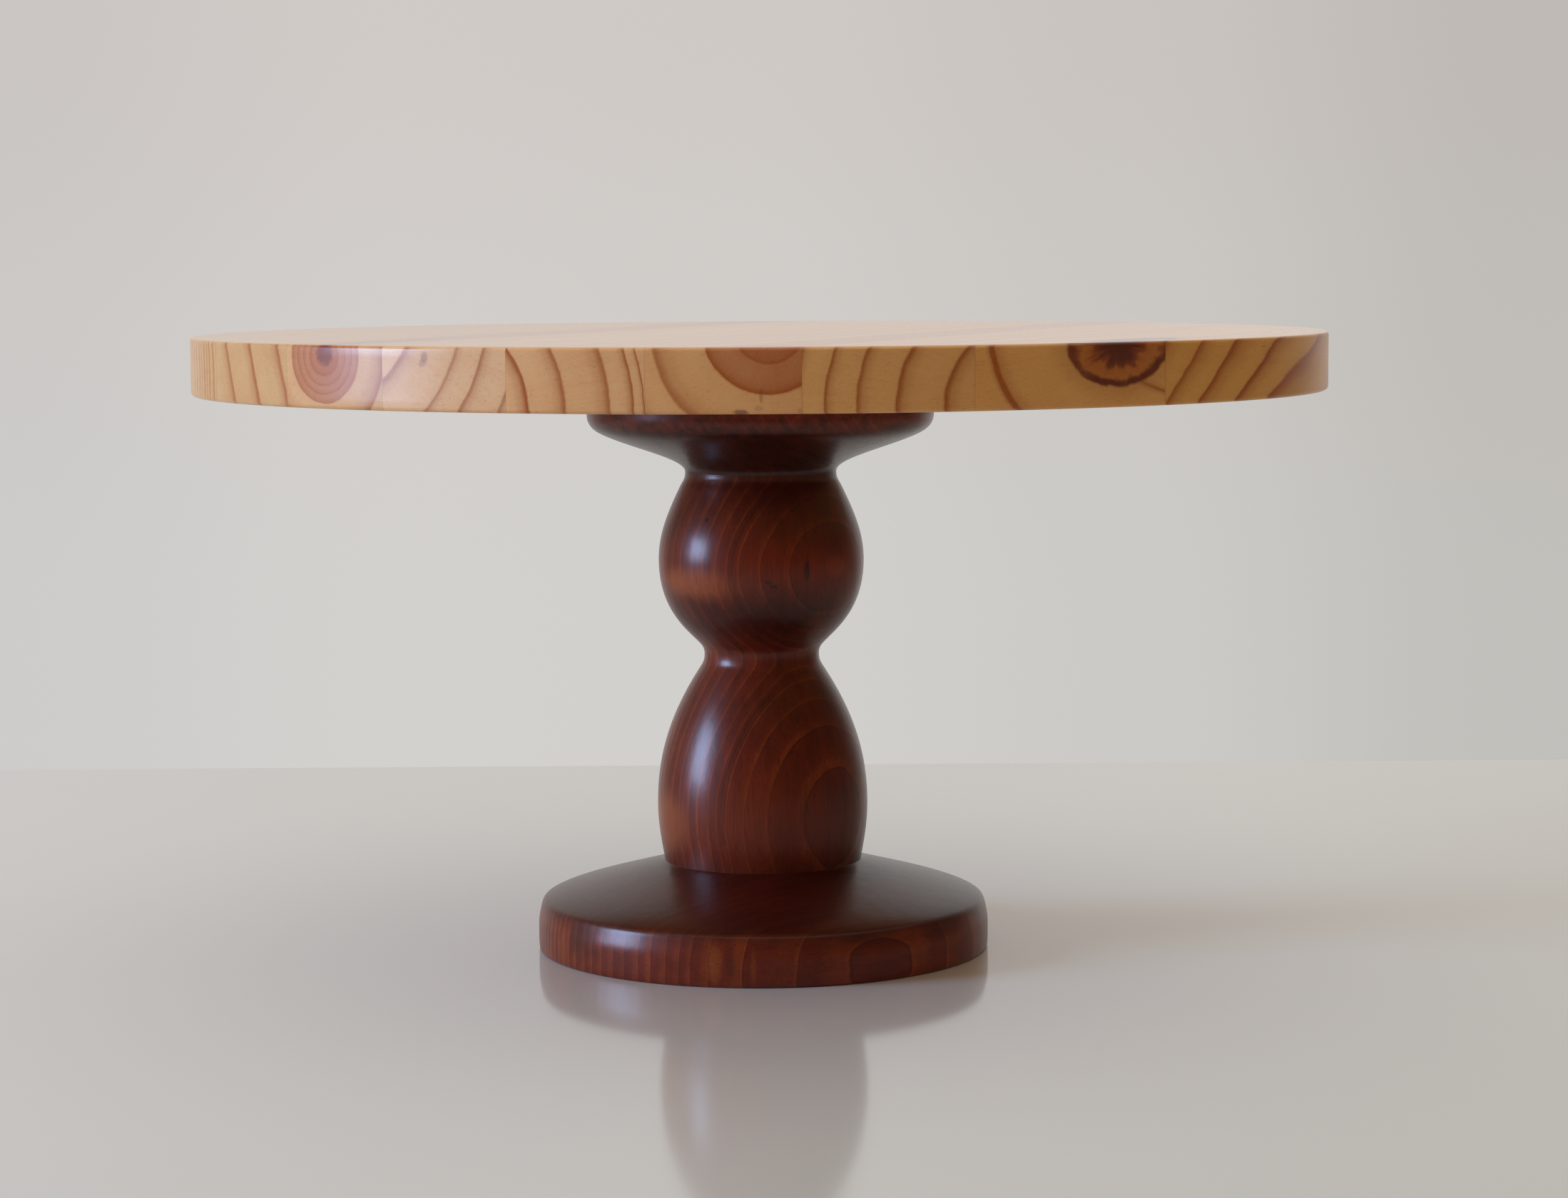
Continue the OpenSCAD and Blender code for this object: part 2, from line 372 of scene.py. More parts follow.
    # short dark dashes of cut cells and the resin canals
    dash = t.noise(t.mapping(p, loc=(0, seed * 1.3, 0), scale=(0.55, 0.04, 2.4)), 1.0, 2.0, 0.5)
    col = t.mix(t.math("MULTIPLY", t.smooth(dash, 0.60, 0.72), t.range(cut, 0, 1, 0.05, 0.22)), col, (0.50, 0.17, 0.045))
    vor = t.voronoi(t.mapping(p, loc=(seed * 1.7, 0, 0), scale=(0.36, 0.012, 0.36)), 1.0)
    dots = t.math("MULTIPLY", t.smooth(vor.outputs["Distance"], 0.14, 0.05), t.smooth(t.math("ADD", blot, t.math("MULTIPLY", prof, 0.25)), 0.42, 0.60))
    col = t.mix(t.math("MULTIPLY", dots, t.range(cut, 0, 1, 0.12, 0.26)), col, (0.26, 0.080, 0.02))
    if kn is not None:
        turn = t.math("ARCTAN2", t.math("SUBTRACT", z, kz), t.math("SUBTRACT", s, ks))
        star = t.noise(t.xyz(t.math("MULTIPLY", turn, 3.4), t.math("MULTIPLY", kn, 1.6), t.math("MULTIPLY", along, 0.05)), 1.0, 3.0, 0.6)
        k2 = t.math("ADD", kn, t.math("MULTIPLY", t.math("SUBTRACT", star, 0.5), 0.75))
        body = t.ramp(k2, [(0.0, (0.120, 0.021, 0.009)), (0.28, (0.150, 0.027, 0.010)), (0.46, (0.270, 0.056, 0.014)),
                           (0.60, (0.500, 0.145, 0.026)), (0.80, (0.540, 0.175, 0.032)), (0.92, (0.360, 0.095, 0.020)), (1.0, (0.240, 0.055, 0.014))])
        ring = t.math("MULTIPLY", t.smooth(kn, 0.80, 0.90), t.smooth(kn, 1.03, 0.96))
        broken = t.math("MULTIPLY", t.range(rag, 0.36, 0.54, 0.45, 1.0), t.range(s, ks - hs * 0.9, ks - hs * 0.4, 0.35, 1.0))
        body = t.mix(t.math("MULTIPLY", ring, broken), body, (0.170, 0.030, 0.009))
        col = t.mix(t.math("MULTIPLY", t.smooth(kn, 1.50, 0.98), 0.35), col, (0.44, 0.16, 0.035))
        col = t.mix(t.smooth(kn, 1.05, 0.97), col, body)
    if marks:
        col = spots(t, p, col, marks)
    # the glue lines at the stave's two edges, a hair darker
    for v, kf in zip(seams, seam_face):
        if v is not None:
            g = t.math("ABSOLUTE", t.math("SUBTRACT", s, v))
            col = t.mix(t.math("MULTIPLY", t.smooth(g, 0.20, 0.05), t.math("MULTIPLY", cut, 0.20)), col, (0.24, 0.085, 0.026))
            seen = t.range(t.noise(t.mapping(p, scale=(0.01, 0.012, 0.01)), 1.0, 1.0), 0.36, 0.56, 0.35, 1.0)
            col = t.mix(t.math("MULTIPLY", t.math("MULTIPLY", t.smooth(g, 0.75, 0.10), face), t.math("MULTIPLY", seen, kf)), col, (0.16, 0.10, 0.07))
    t.put(t.bsdf.inputs["Base Color"], col)
    rough = t.range(fib, 0.3, 0.7, 0.42, 0.56)
    rough = t.math("ADD", rough, t.math("MULTIPLY", f, -0.06))
    t.put(t.bsdf.inputs["Roughness"], rough)
    t.bsdf.inputs["Specular IOR Level"].default_value = 0.20
    # the lacquer lies full and smooth on the face and sinks into the cut ends
    t.put(t.bsdf.inputs["Coat Weight"], t.range(face, 0, 1, gloss, 1.0))
    t.put(t.bsdf.inputs["Coat Roughness"], t.range(face, 0, 1, 0.25, 0.17))
    t.bsdf.inputs["Coat IOR"].default_value = 1.5
    relief = t.math("MULTIPLY", t.math("ADD", t.math("MULTIPLY", prof, 0.5), t.math("MULTIPLY", fib, 0.8)), t.range(cut, 0, 1, 0.12, 1.0))
    nrm = t.bump(relief, 0.10, 0.0002)
    t.put(t.bsdf.inputs["Normal"], nrm)
    lac = t.noise(t.mapping(p, scale=(0.10, 0.07, 0.10)), 1.0, 2.0, 0.5)
    t.put(t.bsdf.inputs["Coat Normal"], t.bump(lac, 0.04, 0.002))
    return t.m


INK = (0.180, 0.048, 0.026)
STAVES = [
    # tint: each stave's tone on its cut rim, with painted reflection of the window's bluish sheen in the strong blue
    # factors of staves 5 to 7
    dict(centre=(-215, 150), lines=fill([30.0], 8, 72, 3.4), late=0.7, tilt=(0.02, 0.01), tint=(0.90, 0.95, 1.05)),
    dict(centre=(-262, 184), lines=[96.0, 99.2, 101.7, 104.6, 107.0, 110.1, 112.5, 115.4, 118.8, 122.0, 125.2, 128.4, 130.4, 133.2, 135.4, 137.5, 140.6, 144.0],
         late=0.95, line_w=0.26, tilt=(0.012, 0.0), tone=0.12, tint=(0.88, 0.94, 1.05)),
    dict(centre=(-486, 72), lines=[356.0, 368.0, 381.0, 393.6, 406.6, 419.7, 432.0, 445.0], late=0.85, line_w=0.15, tilt=(0.010, 0.02), tint=(0.86, 0.93, 1.10), seam_face=(0.1, 0.60)),
    dict(centre=(-65, 193), lines=[0.6, 3.1, 5.8, 8.6, 11.0, 13.4, 22.9, 31.0, 39.0], late=0.85, heart=(13.2, 0.90), tilt=(0.004, 0.004), line_w=0.26,
         tint=(0.92, 0.96, 1.15), seam_face=(0.60, 0.1), marks=[((-64.6, -150, 193.6), (3.6, 120, 3.8), (0.260, 0.050, 0.016), 0.92)]),
    dict(centre=(-57, 207.6), lines=[4.0, 14.5, 24.9, 40.7, 48.9, 59.3, 70.0], grow=-1, late=0.85, tilt=(-0.012, 0.02), line_w=0.15, tint=(1.04, 1.18, 1.68),
         marks=[((-28.3, -174.5, 193.0), (1.3, 7.0, 1.8), (0.36, 0.18, 0.13), 0.60), ((-29.0, -174.5, 191.4), (1.4, 7.0, 1.3), (0.42, 0.22, 0.15), 0.50)]),
    dict(centre=(-23.5, 178), lines=[5.0, 17.0, 27.9, 38.7, 51.1, 57.6, 60.4, 68.0], late=1.0, tilt=(0.015, -0.012), line_w=0.17, tint=(1.02, 1.06, 1.30)),
    dict(centre=(68.7, 199.9), lines=[1.0, 8.6, 16.6, 30.2, 40.4, 49.4], late=0.95, heart=(16.3, 0.84), tilt=(0.006, 0.006), line_w=0.20, tint=(1.01, 1.01, 1.14),
         marks=[((66.8, -166.0, 183.0), (0.6, 3.0, 2.4), INK, 0.38), ((61.8, -167.0, 178.4), (2.2, 3.0, 1.0), INK, 0.7),
                ((66.3, -166.0, 179.6), (1.4, 3.0, 0.9), INK, 0.22), ((76.4, -160.5, 178.8), (1.0, 3.0, 0.9), INK, 0.25)]),
    dict(centre=(136.5, 179.3), lines=[16.0, 26.8, 37.8, 47.0, 54.5, 62.0], late=1.0, tilt=(-0.016, 0.014), line_w=0.16, tone=0.05, tint=(1.06, 1.10, 1.15)),
    dict(centre=(161.8, 199.7), lines=[8.0, 20.0, 42.6, 62.0], late=1.0, tilt=(0.010, 0.01), line_w=0.08, tone=0.12, tint=(1.06, 1.06, 1.0), seam_face=(0.1, 0.60),
         gloss=0.54, knot=((146.6, -98.0, 195.2), (10.7, 45.0, 11.5))),
    dict(centre=(-215, 332), lines=[388.0, 395.2, 401.6, 407.2, 413.1, 417.6, 425.5], grow=-1, late=1.12, line_w=0.24, tone=0.15, tint=(1.0, 1.0, 0.80), gloss=0.42,
         seam_face=(0.60, 0.1), swing=16.0),
]
edges = [-BOARD_R - 3] + SEAMS + [BOARD_R + 3]


def board_profile():
    r, z0, z1, e = BOARD_R, BOARD_LOW, BOARD_TOP, EASE
    inner = [(0, z0), (12, z0), (40, z0), (80, z0), (120, z0), (150, z0), (170, z0)]
    low = arc(r - e, z0 + e, e, -90, 0, 7)
    wall = [(r, z0 + e + (z1 - z0 - 2 * e) * i / 8) for i in range(1, 8)]
    top = arc(r - e, z1 - e, e, 0, 90, 7)
    return inner + low + wall + top + [(170, z1), (150, z1), (120, z1), (80, z1), (40, z1), (12, z1), (0, z1)]


def stave(i, mat):
    """Stave i of ten: the disc cut by its two glue planes, with the cuts closed."""
    bm = bmesh.new()
    lathe(bm, board_profile(), 720, False)
    n = Vector((math.cos(GRAIN), -math.sin(GRAIN), 0))
    for v, keep_low in ((edges[i], False), (edges[i + 1], True)):
        if abs(v) > BOARD_R:
            continue
        geom = bm.verts[:] + bm.edges[:] + bm.faces[:]
        cut = bmesh.ops.bisect_plane(bm, geom=geom, plane_co=n * (v * MM), plane_no=n, clear_outer=keep_low, clear_inner=not keep_low, dist=1e-7)
        rim = [e for e in cut["geom_cut"] if isinstance(e, bmesh.types.BMEdge)]
        bmesh.ops.contextual_create(bm, geom=rim)
    return finish_mesh(f"pine_stave_{i + 1:02d}", bm, mat, 25)


pieces = []
for i, spec in enumerate(STAVES):
    m = pine(f"pine_{i + 1:02d}", i + 1, seams=(SEAMS[i - 1] if i else None, SEAMS[i] if i < 9 else None), **spec)
    ob = stave(i, m)
    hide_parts(f"board_stave_{i + 1}")
    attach(ob, "root")
    pieces.append(ob)


# ---------------------------------------------------------------- stained wood
def stained(name, seed, lines, upright=True, pith=(0.0, 0.0), fibre=0.0, drift=0.0, marks=(), wander=1.4,
            band=0.35, contrast=1.0, dark_lines=(), light_and_tone_patches=(), top_fade_and_shade=None, painted_shade_ramp=None, cove_shade_curve=None, streaks=0.45):
    """Mahogany-stained softwood under satin varnish. upright: the grain runs up Z and pith is its x, y;
    otherwise the grain runs level at fibre degrees clockwise of +Y and pith is (across, height)."""
    t = T(name)
    obj = t.node("ShaderNodeTexCoord").outputs["Object"]
    if upright:
        p = t.mapping(obj, scale=(1000, 1000, 1000))
        x, y, z = t.split(p)
        a, b, c = x, y, z
        high = z
        q = t.mapping(p, loc=(seed * 3.7, seed, 0), scale=(0.035, 0.035, 0.008))
        fs = (2.2, 2.2, 0.07)
        ws = (0.12, 0.12, 0.012)
    else:
        p = t.mapping(obj, rot=(0, 0, math.radians(fibre)), scale=(1000, 1000, 1000))
        a, c, b = t.split(p)
        high = b
        q = t.mapping(p, loc=(seed * 3.7, seed, 0), scale=(0.035, 0.008, 0.035))
        fs = (2.2, 0.07, 2.2)
        ws = (0.12, 0.012, 0.12)
    w1 = t.math("MULTIPLY", t.math("SUBTRACT", t.noise(q, 1.0, 2.0), 0.5), wander)
    w2 = t.math("MULTIPLY", t.math("SUBTRACT", t.noise(t.vec("ADD", q, (5.3, 8.1, 3.9)), 1.0, 2.0), 0.5), wander)
    da = t.math("ADD", t.math("SUBTRACT", a, pith[0]), w1)
    db = t.math("ADD", t.math("SUBTRACT", b, pith[1]), w2)
    r = t.math("SQRT", t.math("ADD", t.math("MULTIPLY", da, da), t.math("MULTIPLY", db, db)))
    if drift:
        lean = t.math("MULTIPLY", t.math("SUBTRACT", c, 90.0), t.range(r, 64, 80, 0.0, drift))
        r = t.math("SUBTRACT", r, lean)
    fine = t.noise(t.mapping(p, loc=(seed, 0, 0), scale=ws), 1.0, 3.0, 0.5)
    r = t.math("ADD", r, t.math("MULTIPLY", t.math("SUBTRACT", fine, 0.5), 0.7))
    phase = ring_phase(t, r, lines)
    fr = t.math("FRACT", phase)
    wn = t.node("ShaderNodeTexWhiteNoise", noise_dimensions="1D")
    t.put(wn.inputs["W"], t.math("ADD", t.math("FLOOR", phase), seed * 5.17))
    k = t.range(wn.outputs["Value"], 0, 1, 0.35, 1.0)
    # dark early wood warming to an orange late-wood line, then a thin dark edge
    early, mid, bright, edge = (0.146, 0.0150, 0.0040), (0.192, 0.0225, 0.0052), (0.345, 0.0620, 0.0105), (0.058, 0.0066, 0.0026)
    ring = t.ramp(fr, [(0.0, edge), (0.02, early), (1 - 2.0 * band, early), (1 - 0.9 * band, mid), (1 - 0.45 * band, bright), (0.965, bright), (0.98, edge), (1.0, edge)])
    flat = t.ramp(fr, [(0.0, early), (0.50, (0.152, 0.0158, 0.0042)), (0.90, mid), (0.96, bright), (0.985, early), (1.0, early)])
    seen = t.range(t.noise(t.mapping(p, loc=(seed * 1.9, 0, 0), scale=(0.040, 0.040, 0.022)), 1.0, 2.0, 0.5), 0.34, 0.58, 0.38, 1.0)
    col = t.mix(t.math("MULTIPLY", k, seen), flat, ring)
    # broad patches where the stain lies darker and lighter
    blot = t.noise(t.mapping(p, loc=(0, seed * 2.0, 0), scale=(0.045, 0.045, 0.03)), 1.0, 4.0, 0.6)
    plain = t.mix(t.range(blot, 0.30, 0.70, 0.0, 1.0), (0.086, 0.0105, 0.0036), (0.222, 0.0280, 0.0058))
    even = 1.0 - contrast
    # on top the rings fade into the plain stain, which is made darker there: the top's own face grain, with painted
    # shade under the board
    if top_fade_and_shade:
        f = t.smooth(high, top_fade_and_shade[0], top_fade_and_shade[1])
        plain = t.mix(f, plain, (0.064, 0.0058, 0.0022))
        col = t.mix(t.math("MAXIMUM", t.math("MULTIPLY", f, 0.85), even), col, plain)
    elif even > 0:
        col = t.mix(even, col, plain)
    col = t.mix(t.range(blot, 0.34, 0.66, 0.55, 0.25), col, plain)
    if cove_shade_curve:
        # painted shade: how dark each height is, from its curve, darker in the coves and waist, under the board, on the
        # base's shoulder and where column and base meet
        height_shade = t.curve(t.range(high, cove_shade_curve[0][0], cove_shade_curve[-1][0], 0, 1), [((v - cove_shade_curve[0][0]) / (cove_shade_curve[-1][0] - cove_shade_curve[0][0]), k3) for v, k3 in cove_shade_curve])
        height_shade = t.math("MULTIPLY", height_shade, t.range(t.noise(t.mapping(p, loc=(3.0, seed, 0), scale=(0.05, 0.05, 0.035)), 1.0, 3.0, 0.55), 0.3, 0.7, 0.65, 1.2), clamp=True)
        col = t.mix(height_shade, col, (0.036, 0.0052, 0.0024))
    # soft streaks of stain along the grain
    streak = t.noise(t.mapping(p, loc=(seed * 0.7, 0, 0), scale=tuple(0.30 if v > 1 else 0.010 for v in fs)), 1.0, 2.0, 0.5)
    col = t.mix(streaks, col, t.ramp(streak, [(0.28, 0.24), (0.5, 0.5), (0.72, 0.74)]), "OVERLAY")
    for v, k2, w in dark_lines:
        g = t.math("ABSOLUTE", t.math("SUBTRACT", r, v))
        seen = t.smooth(t.noise(t.mapping(p, loc=(v, 0, 0), scale=(0.05, 0.05, 0.05)), 1.0, 2.0), 0.35, 0.55)
        col = t.mix(t.math("MULTIPLY", t.math("MULTIPLY", t.smooth(g, w, w * 0.3), seen), k2), col, (0.040, 0.0075, 0.005))
    # soft patches laid on the wood, listed by the caller: some are painted highlight, some painted shade, some the
    # stain's own bands
    for g_c, g_h, g_col, g_k in light_and_tone_patches:
        d = t.vec("LENGTH", t.mapping(t.vec("SUBTRACT", p, g_c), scale=tuple(1 / v for v in g_h)))
        d = t.math("ADD", d, t.math("MULTIPLY", t.math("SUBTRACT", fine, 0.5), 0.8))
        col = t.mix(t.math("MULTIPLY", t.smooth(d, 1.25, 0.25), g_k), col, g_col)
    fib = t.noise(t.mapping(p, loc=(seed, 0, 0), scale=fs), 1.0, 3.0, 0.65)
    col = t.mix(0.8, col, t.ramp(fib, [(0.28, 0.33), (0.5, 0.5), (0.75, 0.62)]), "OVERLAY")
    # pores and short dark flecks along the grain
    pore = tuple(0.55 if v > 1 else 0.05 for v in fs)
    vor = t.voronoi(t.mapping(p, scale=pore), 1.0)
    col = t.mix(t.math("MULTIPLY", t.smooth(vor.outputs["Distance"], 0.18, 0.06), t.range(blot, 0.4, 0.6, 0.15, 0.65)), col, (0.030, 0.006, 0.004))
    if marks:
        col = spots(t, p, col, marks)
    # painted shade: the colour is multiplied darker below a given height
    if painted_shade_ramp:
        h0, h1, low, top = painted_shade_ramp
        f = t.range(high, h0, h1, low, top)
        col = t.mix(1.0, col, t.xyz(f, f, f), "MULTIPLY")
    t.put(t.bsdf.inputs["Base Color"], col)
    t.put(t.bsdf.inputs["Roughness"], t.range(fib, 0.3, 0.7, 0.45, 0.60))
    t.bsdf.inputs["Specular IOR Level"].default_value = 0.08
    t.bsdf.inputs["Coat Weight"].default_value = 0.68
    t.bsdf.inputs["Coat Roughness"].default_value = 0.27
    t.bsdf.inputs["Coat IOR"].default_value = 1.5
    t.put(t.bsdf.inputs["Normal"], t.bump(t.math("ADD", fib, t.math("MULTIPLY", fr, 0.4)), 0.12, 0.0002))
    peel = t.noise(t.mapping(p, scale=(0.16, 0.16, 0.10)), 1.0, 2.0, 0.5)
    t.put(t.bsdf.inputs["Coat Normal"], t.bump(t.math("ADD", peel, t.math("MULTIPLY", fib, 0.12)), 0.08, 0.0012))
    return t.m


def on_column(az, r, z):
    a = math.radians(az)
    return (r * math.sin(a), -r * math.cos(a), z)


col_lines = [24, 27.5, 31, 34.2, 37.5, 41, 44.5, 48, 51.3, 54.6, 57.9, 61.7, 65.7, 69.9, 73.2, 76.4, 79.0, 81.3, 85.0, 88.9, 93.1, 97.5]
column_mat = stained("stained_column", 3, col_lines, pith=(-42.4, 42.4), drift=0.027, wander=1.0, band=0.30,
                     cove_shade_curve=[(27, 0.50), (31, 0.20), (36, 0.0), (58, 0.0), (70, 0.16), (80, 0.40), (88, 0.30), (94, 0.10), (98, 0.35), (103, 0.66), (110, 0.70),
                             (115, 0.42), (121, 0.0), (128, 0.0), (134, 0.25), (141, 0.35), (147, 0.45), (153, 0.60)],
                     dark_lines=[(79.9, 0.5, 0.32), (80.7, 0.4, 0.3), (70.6, 0.4, 0.3), (67.8, 0.35, 0.3)],
                     # patches: the two orange bands (az -44 z 118.5, az -66 z 42) are a painted highlight for the
                     # wood's fibre sheen; the lighter ones at az 8 and 12 are painted light; the dark ones at az 38, 40
                     # and -8 are painted shade under the board and the upper bulb
                     light_and_tone_patches=[(on_column(-44, 32.2, 118.5), (17.0, 17.0, 5.6), (0.360, 0.078, 0.0180), 0.75),
                           (on_column(-66, 33.4, 42.0), (15.0, 18.0, 10.0), (0.340, 0.072, 0.0170), 0.70),
                           (on_column(38, 27.0, 147.0), (24.0, 24.0, 10.0), (0.060, 0.0090, 0.0045), 0.75),
                           (on_column(40, 31.4, 134.0), (13.0, 13.0, 8.0), (0.062, 0.0088, 0.0042), 0.38),
                           (on_column(8, 33.3, 43.0), (27.0, 14.0, 19.0), (0.250, 0.0330, 0.0055), 0.55),
                           (on_column(12, 32.4, 125.0), (20.0, 14.0, 7.0), (0.230, 0.0270, 0.0045), 0.40),
                           (on_column(-8, 30.0, 107.0), (22.0, 16.0, 7.0), (0.040, 0.0070, 0.0038), 0.45)],
                     marks=[(on_column(25.8, 32.6, 122.9), (1.0, 1.0, 3.9), (0.040, 0.008, 0.005), 0.8),
                            (on_column(3.8, 32.2, 119.4), (1.5, 1.5, 0.8), (0.040, 0.008, 0.005), 0.7),
                            (on_column(6.4, 31.9, 118.0), (1.5, 1.5, 0.8), (0.040, 0.008, 0.005), 0.7),
                            (on_column(46, 32.6, 123.4), (5.0, 5.0, 3.8), (0.260, 0.034, 0.0095), 0.6),
                            (on_column(-34.4, 29.8, 138.4), (0.8, 0.8, 0.8), (0.012, 0.004, 0.003), 0.95)])
base_lines = [18 + 3.3 * i for i in range(24)] + [97.8, 102.4, 105.9, 110, 114.7, 118.7, 123.6, 127.5, 131.7, 135.3, 138.1, 142.1, 149, 156.9, 161.2, 166, 171]


def on_base(az, z):
    a = math.radians(az + 60)
    return (71.5 * math.sin(a), -71.5 * math.cos(a), z)


DARK, AMBER = (0.046, 0.0085, 0.0045), (0.330, 0.0720, 0.0120)
base_mat = stained("stained_base", 8, base_lines, upright=False, pith=(-90.0, 8.0), fibre=60.0, wander=1.2, band=0.62, contrast=1.0, streaks=0.30,
                   cove_shade_curve=[(0, 0.12), (3, 0.0), (11, 0.0), (14, 0.28), (16.5, 0.70), (19, 0.50), (23, 0.18), (28, 0.50)],
                   # patches on the wall: the amber and dark streaks at az -60 to -2 are the wood's own late-wood bands,
                   # with a darker patch at az -52; the dark patches on the right shoulder (az 24, 52) are painted shade
                   light_and_tone_patches=[(on_base(-52, 10), (8.0, 8.0, 8.0), DARK, 0.62), (on_base(-12, 7), (2.4, 2.4, 7.0), AMBER, 0.70),
                         (on_base(-8.2, 8), (1.8, 1.8, 8.0), DARK, 0.45), (on_base(-2.5, 6), (1.2, 1.2, 6.0), AMBER, 0.40),
                         (on_base(-60, 6), (3.5, 3.5, 7.0), AMBER, 0.35), (on_base(24, 15), (13.0, 13.0, 3.0), DARK, 0.60),
                         (on_base(52, 14), (12.0, 12.0, 4.0), DARK, 0.45)], top_fade_and_shade=(13.5, 19.0),
                   marks=[((71.3 * math.sin(math.radians(-32.5 + 60)), -71.3 * math.cos(math.radians(-32.5 + 60)), 14.6), (0.35, 0.6, 1.5), (0.010, 0.004, 0.003), 0.9)])
fl_lines = [6 + 2.9 * i for i in range(40)]
# the flange's underside cone is painted darker than its wall: painted shade under the board
flange_mat = stained("stained_flange", 5, fl_lines, upright=False, pith=(-44.0, 128.0), fibre=18.0, wander=1.8, contrast=0.45, painted_shade_ramp=(165.5, 169.0, 0.26, 0.85), streaks=0.9)

col_prof = [(0, 52.5), (3.0, 51.5), (3.0, 11.0), (TENON_R - 1, 11.0), (TENON_R, 12.0), (TENON_R, 27.8)] + bez_chain(COLUMN, 20) + \
    [(TENON_R, 152.0), (TENON_R, 176.5), (TENON_R - 1, 177.5), (4.0, 177.5), (4.0, 140.8), (0, 139.8)]
column = turned("baluster_column", col_prof, column_mat, 320, False)
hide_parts("turned_column")

base_prof = [(BASE_R - 14, 0), (66, 0)] + [(BASE_R - 0.9, 0), (BASE_R - 0.45, 0.2), (BASE_R - 0.2, 0.6), (BASE_R - 0.08, 1.4), (BASE_R, 3.0), (BASE_R, 5.2)] + \
    bez_chain(BASE, 14) + [(TENON_R, 28.0), (TENON_R, 10.5), (2.2, 10.5), (2.2, 5.9), (5.75, 2.4), (5.75, 2.0), (20, 2.0), (45, 2.0), (BASE_R - 14, 2.0)]
base = turned("base_foot_disc", base_prof, base_mat, 384)
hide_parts("base_disc")

fl_prof = [(TENON_R, 152.0)] + bez_chain(FLANGE, 16) + [(55.0, 174.0), (55.0, 177.2), (54.8, 177.7), (54.4, 178.0), (40, 178.0), (TENON_R, 178.0)]
flange = turned("under_board_flange", fl_prof, flange_mat, 320)
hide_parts("top_flange")
for ob in (column, base, flange):
    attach(ob, "root")


# ---------------------------------------------------------------- hardware
def metal(name, colour, rough, scratch):
    t = T(name)
    p = t.mapping(t.node("ShaderNodeTexCoord").outputs["Object"], scale=(1000, 1000, 1000))
    n = t.noise(t.mapping(p, scale=(1.2, 1.2, 4.0)), 1.0, 3.0, 0.6)
    t.put(t.bsdf.inputs["Base Color"], t.mix(t.range(n, 0.3, 0.7, 0, 0.5), colour, tuple(c * scratch for c in colour)))
    t.put(t.bsdf.inputs["Roughness"], t.range(n, 0.3, 0.7, rough - 0.06, rough + 0.10))
    t.bsdf.inputs["Metallic"].default_value = 1.0
    t.put(t.bsdf.inputs["Normal"], t.bump(n, 0.15, 0.0001))
    return t.m


steel = metal("zinc_plated_steel", (0.60, 0.60, 0.58), 0.30, 0.72)
brass = metal("machined_brass", (0.72, 0.50, 0.20), 0.26, 0.80)
for n, m in (("hanger_bolt", steel), ("base_screw", steel), ("threaded_insert", brass)):
    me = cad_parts[n].data
    me.materials.clear()
    me.materials.append(m)

# ---------------------------------------------------------------- stage
t = T("pale_table")
tc = t.node("ShaderNodeTexCoord").outputs["Object"]
cloud = t.noise(t.mapping(tc, scale=(1.4, 2.2, 1.0)), 1.0, 3.0, 0.5)
tx, ty, _z = t.split(tc)
# painted shade: the table top darker towards the right, away from the window
right_side_shade = t.smooth(t.math("MULTIPLY_ADD", ty, -0.25, tx), 0.05, 0.28)
t.put(t.bsdf.inputs["Base Color"], t.mix(right_side_shade, t.mix(cloud, (0.664, 0.640, 0.568), (0.708, 0.684, 0.612)), (0.590, 0.566, 0.498)))
t.bsdf.inputs["Roughness"].default_value = 0.10
t.bsdf.inputs["IOR"].default_value = 1.5
bm = bmesh.new()
x0, x1, y0, y1 = -2.6, 2.6, -1.05, 0.402
vs = [bm.verts.new(c) for c in ((x0, y0, 0), (x1, y0, 0), (x1, y1, 0), (x0, y1, 0), (x0, y0, -0.02), (x1, y0, -0.02), (x1, y1, -0.02), (x0, y1, -0.02))]
for f in ((0, 1, 2, 3), (7, 6, 5, 4), (0, 4, 5, 1), (1, 5, 6, 2), (2, 6, 7, 3), (3, 7, 4, 0)):
    bm.faces.new([vs[i] for i in f])
floor = finish_mesh("table_top", bm, t.m)

world = bpy.data.worlds.new("room")
scene.world = world
world.use_nodes = True
wt = world.node_tree
wt.nodes.clear()


def wn_(kind, **props):
    n = wt.nodes.new(kind)
    for k, v in props.items():
        setattr(n, k, v)
    return n


def wlink(a, b):
    wt.links.new(a, b)


wo = wn_("ShaderNodeOutputWorld")
tcw = wn_("ShaderNodeTexCoord")
sep = wn_("ShaderNodeSeparateXYZ")
wlink(tcw.outputs["Generated"], sep.inputs[0])


def wramp(src, a, b):
    n = wn_("ShaderNodeMapRange", interpolation_type="SMOOTHSTEP")
    wlink(src, n.inputs["Value"])
    n.inputs["From Min"].default_value = a
    n.inputs["From Max"].default_value = b
    return n.outputs["Result"]


def wmix(f, a, b):
    n = wn_("ShaderNodeMix", data_type="RGBA")
    if isinstance(f, bpy.types.NodeSocket):
        wlink(f, n.inputs[0])
    else:
        n.inputs[0].default_value = f
    for i, v in ((6, a), (7, b)):
        if isinstance(v, bpy.types.NodeSocket):
            wlink(v, n.inputs[i])
        else:
            n.inputs[i].default_value = (v[0], v[1], v[2], 1)
    return n.outputs[2]


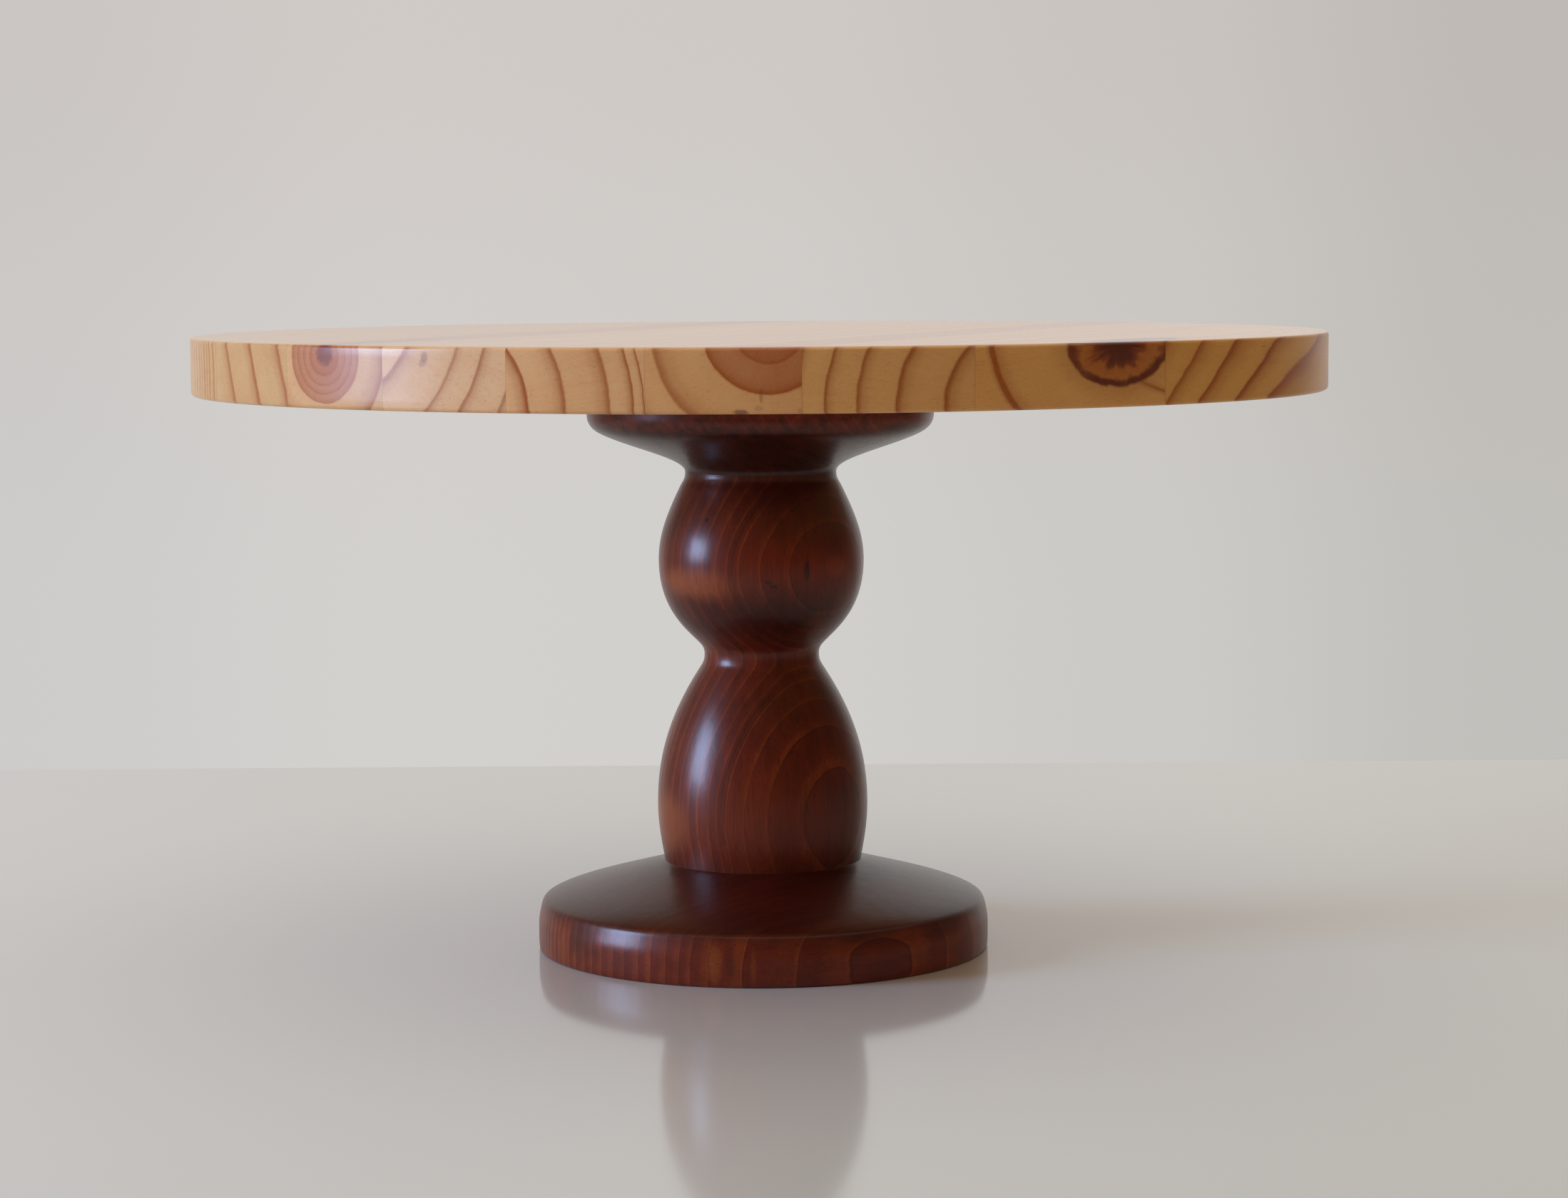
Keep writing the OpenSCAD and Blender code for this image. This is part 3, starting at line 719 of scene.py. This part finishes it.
def wstops(src, lo, hi, stops):
    m = wn_("ShaderNodeMapRange")
    wlink(src, m.inputs["Value"])
    m.inputs["From Min"].default_value = lo
    m.inputs["From Max"].default_value = hi
    n = wn_("ShaderNodeValToRGB")
    wlink(m.outputs["Result"], n.inputs[0])
    n.color_ramp.interpolation = "EASE"
    while len(n.color_ramp.elements) < len(stops):
        n.color_ramp.elements.new(0.5)
    for e, (pos, c) in zip(n.color_ramp.elements, stops):
        e.position = pos
        e.color = (c[0], c[1], c[2], 1)
    return n.outputs[0]


# the pale wall behind, a dim room in front, a lighter ceiling
wall = wmix(wramp(sep.outputs["X"], -0.92, -0.40), (0.300, 0.300, 0.300), (0.690, 0.675, 0.660))
wall = wmix(wramp(sep.outputs["X"], 0.02, 0.25), wall, (0.775, 0.760, 0.735))
wall = wmix(wramp(sep.outputs["X"], 0.42, 0.80), wall, (0.600, 0.565, 0.490))
room = wmix(wramp(sep.outputs["X"], -0.95, -0.30), (0.290, 0.235, 0.185), (0.135, 0.094, 0.058))
room = wmix(wramp(sep.outputs["Z"], -0.02, -0.30), room, (0.050, 0.034, 0.022))
light_env = wmix(wramp(sep.outputs["Y"], 0.47, 0.94), room, wall)
light_env = wmix(wramp(sep.outputs["Z"], 0.58, 0.86), light_env, (1.000, 0.930, 0.850))
# the wall the camera sees directly is painted with the light and shade of the lit wall: brightest left of centre,
# darker towards the right, a touch dimmer higher up
view_env = wstops(sep.outputs["X"], -0.2068, 0.2068, [(0.0, (0.612, 0.603, 0.590)), (0.26, (0.652, 0.637, 0.617)), (0.48, (0.642, 0.630, 0.608)),
                                                     (0.74, (0.604, 0.592, 0.570)), (1.0, (0.536, 0.524, 0.497))])
dim = wn_("ShaderNodeMix", data_type="RGBA", blend_type="MULTIPLY")
dim.inputs[0].default_value = 1.0
wlink(view_env, dim.inputs[6])
wlink(wstops(sep.outputs["Z"], -0.10, 0.07, [(0.0, (1.0, 1.0, 1.0)), (1.0, (0.970, 0.930, 0.925))]), dim.inputs[7])
view_env = dim.outputs[2]
lp = wn_("ShaderNodeLightPath")
envc = wmix(lp.outputs["Is Camera Ray"], light_env, view_env)
bg = wn_("ShaderNodeBackground")
wlink(envc, bg.inputs["Color"])
wlink(bg.outputs[0], wo.inputs[0])


def area(name, loc, target, size, power, colour, size_y=None):
    ld = bpy.data.lights.new(name, "AREA")
    ld.shape = "RECTANGLE"
    ld.size = size
    ld.size_y = size_y or size
    ld.energy = power
    ld.color = colour
    ob = bpy.data.objects.new(name, ld)
    scene.collection.objects.link(ob)
    ob.location = loc
    ob.rotation_euler = (Vector(target) - Vector(loc)).to_track_quat("-Z", "Y").to_euler()
    return ob


# a soft window on the left, a little above the stand
d = 2.4
az = math.radians(-77)
place = (d * math.sin(az), -d * math.cos(az), 0.69)
win = area("window", place, (0, 0, 0.12), 0.82, 60.0, (0.46, 0.63, 1.0), 1.08)
# the table takes the same light from a twin that it doesn't mirror, so no view is washed out by glare
twin = area("window_on_table", place, (0, 0, 0.12), 0.82, 60.0, (0.46, 0.63, 1.0), 1.08)
twin.visible_glossy = False
for lamp, lit in ((win, pieces + [column, base, flange]), (twin, [floor])):
    group = bpy.data.collections.new(lamp.name + "_falls_on")
    for ob in lit:
        group.objects.link(ob)
    lamp.light_linking.receiver_collection = group

# ---------------------------------------------------------------- camera
cam_data = bpy.data.cameras.new("camera")
cam = bpy.data.objects.new("camera", cam_data)
scene.collection.objects.link(cam)
cam_data.sensor_fit = "HORIZONTAL"
cam_data.sensor_width = 36.0
cam_data.lens = 82.45
cam_data.clip_start = 0.05
cam_data.clip_end = 50
yaw, pitch, roll = math.radians(0.361), math.radians(5.545), math.radians(-0.320)
fwd = Vector((math.sin(yaw) * math.cos(pitch), math.cos(yaw) * math.cos(pitch), -math.sin(pitch)))
right = Vector((math.cos(yaw), -math.sin(yaw), 0))
up = right.cross(fwd)
r2 = right * math.cos(roll) + up * math.sin(roll)
u2 = up * math.cos(roll) - right * math.sin(roll)
rot = Matrix((r2, u2, -fwd)).transposed()
cam.matrix_world = Matrix.Translation((0, -1.138, 0.2216)) @ rot.to_4x4()
scene.camera = cam

bpy.context.view_layer.update()
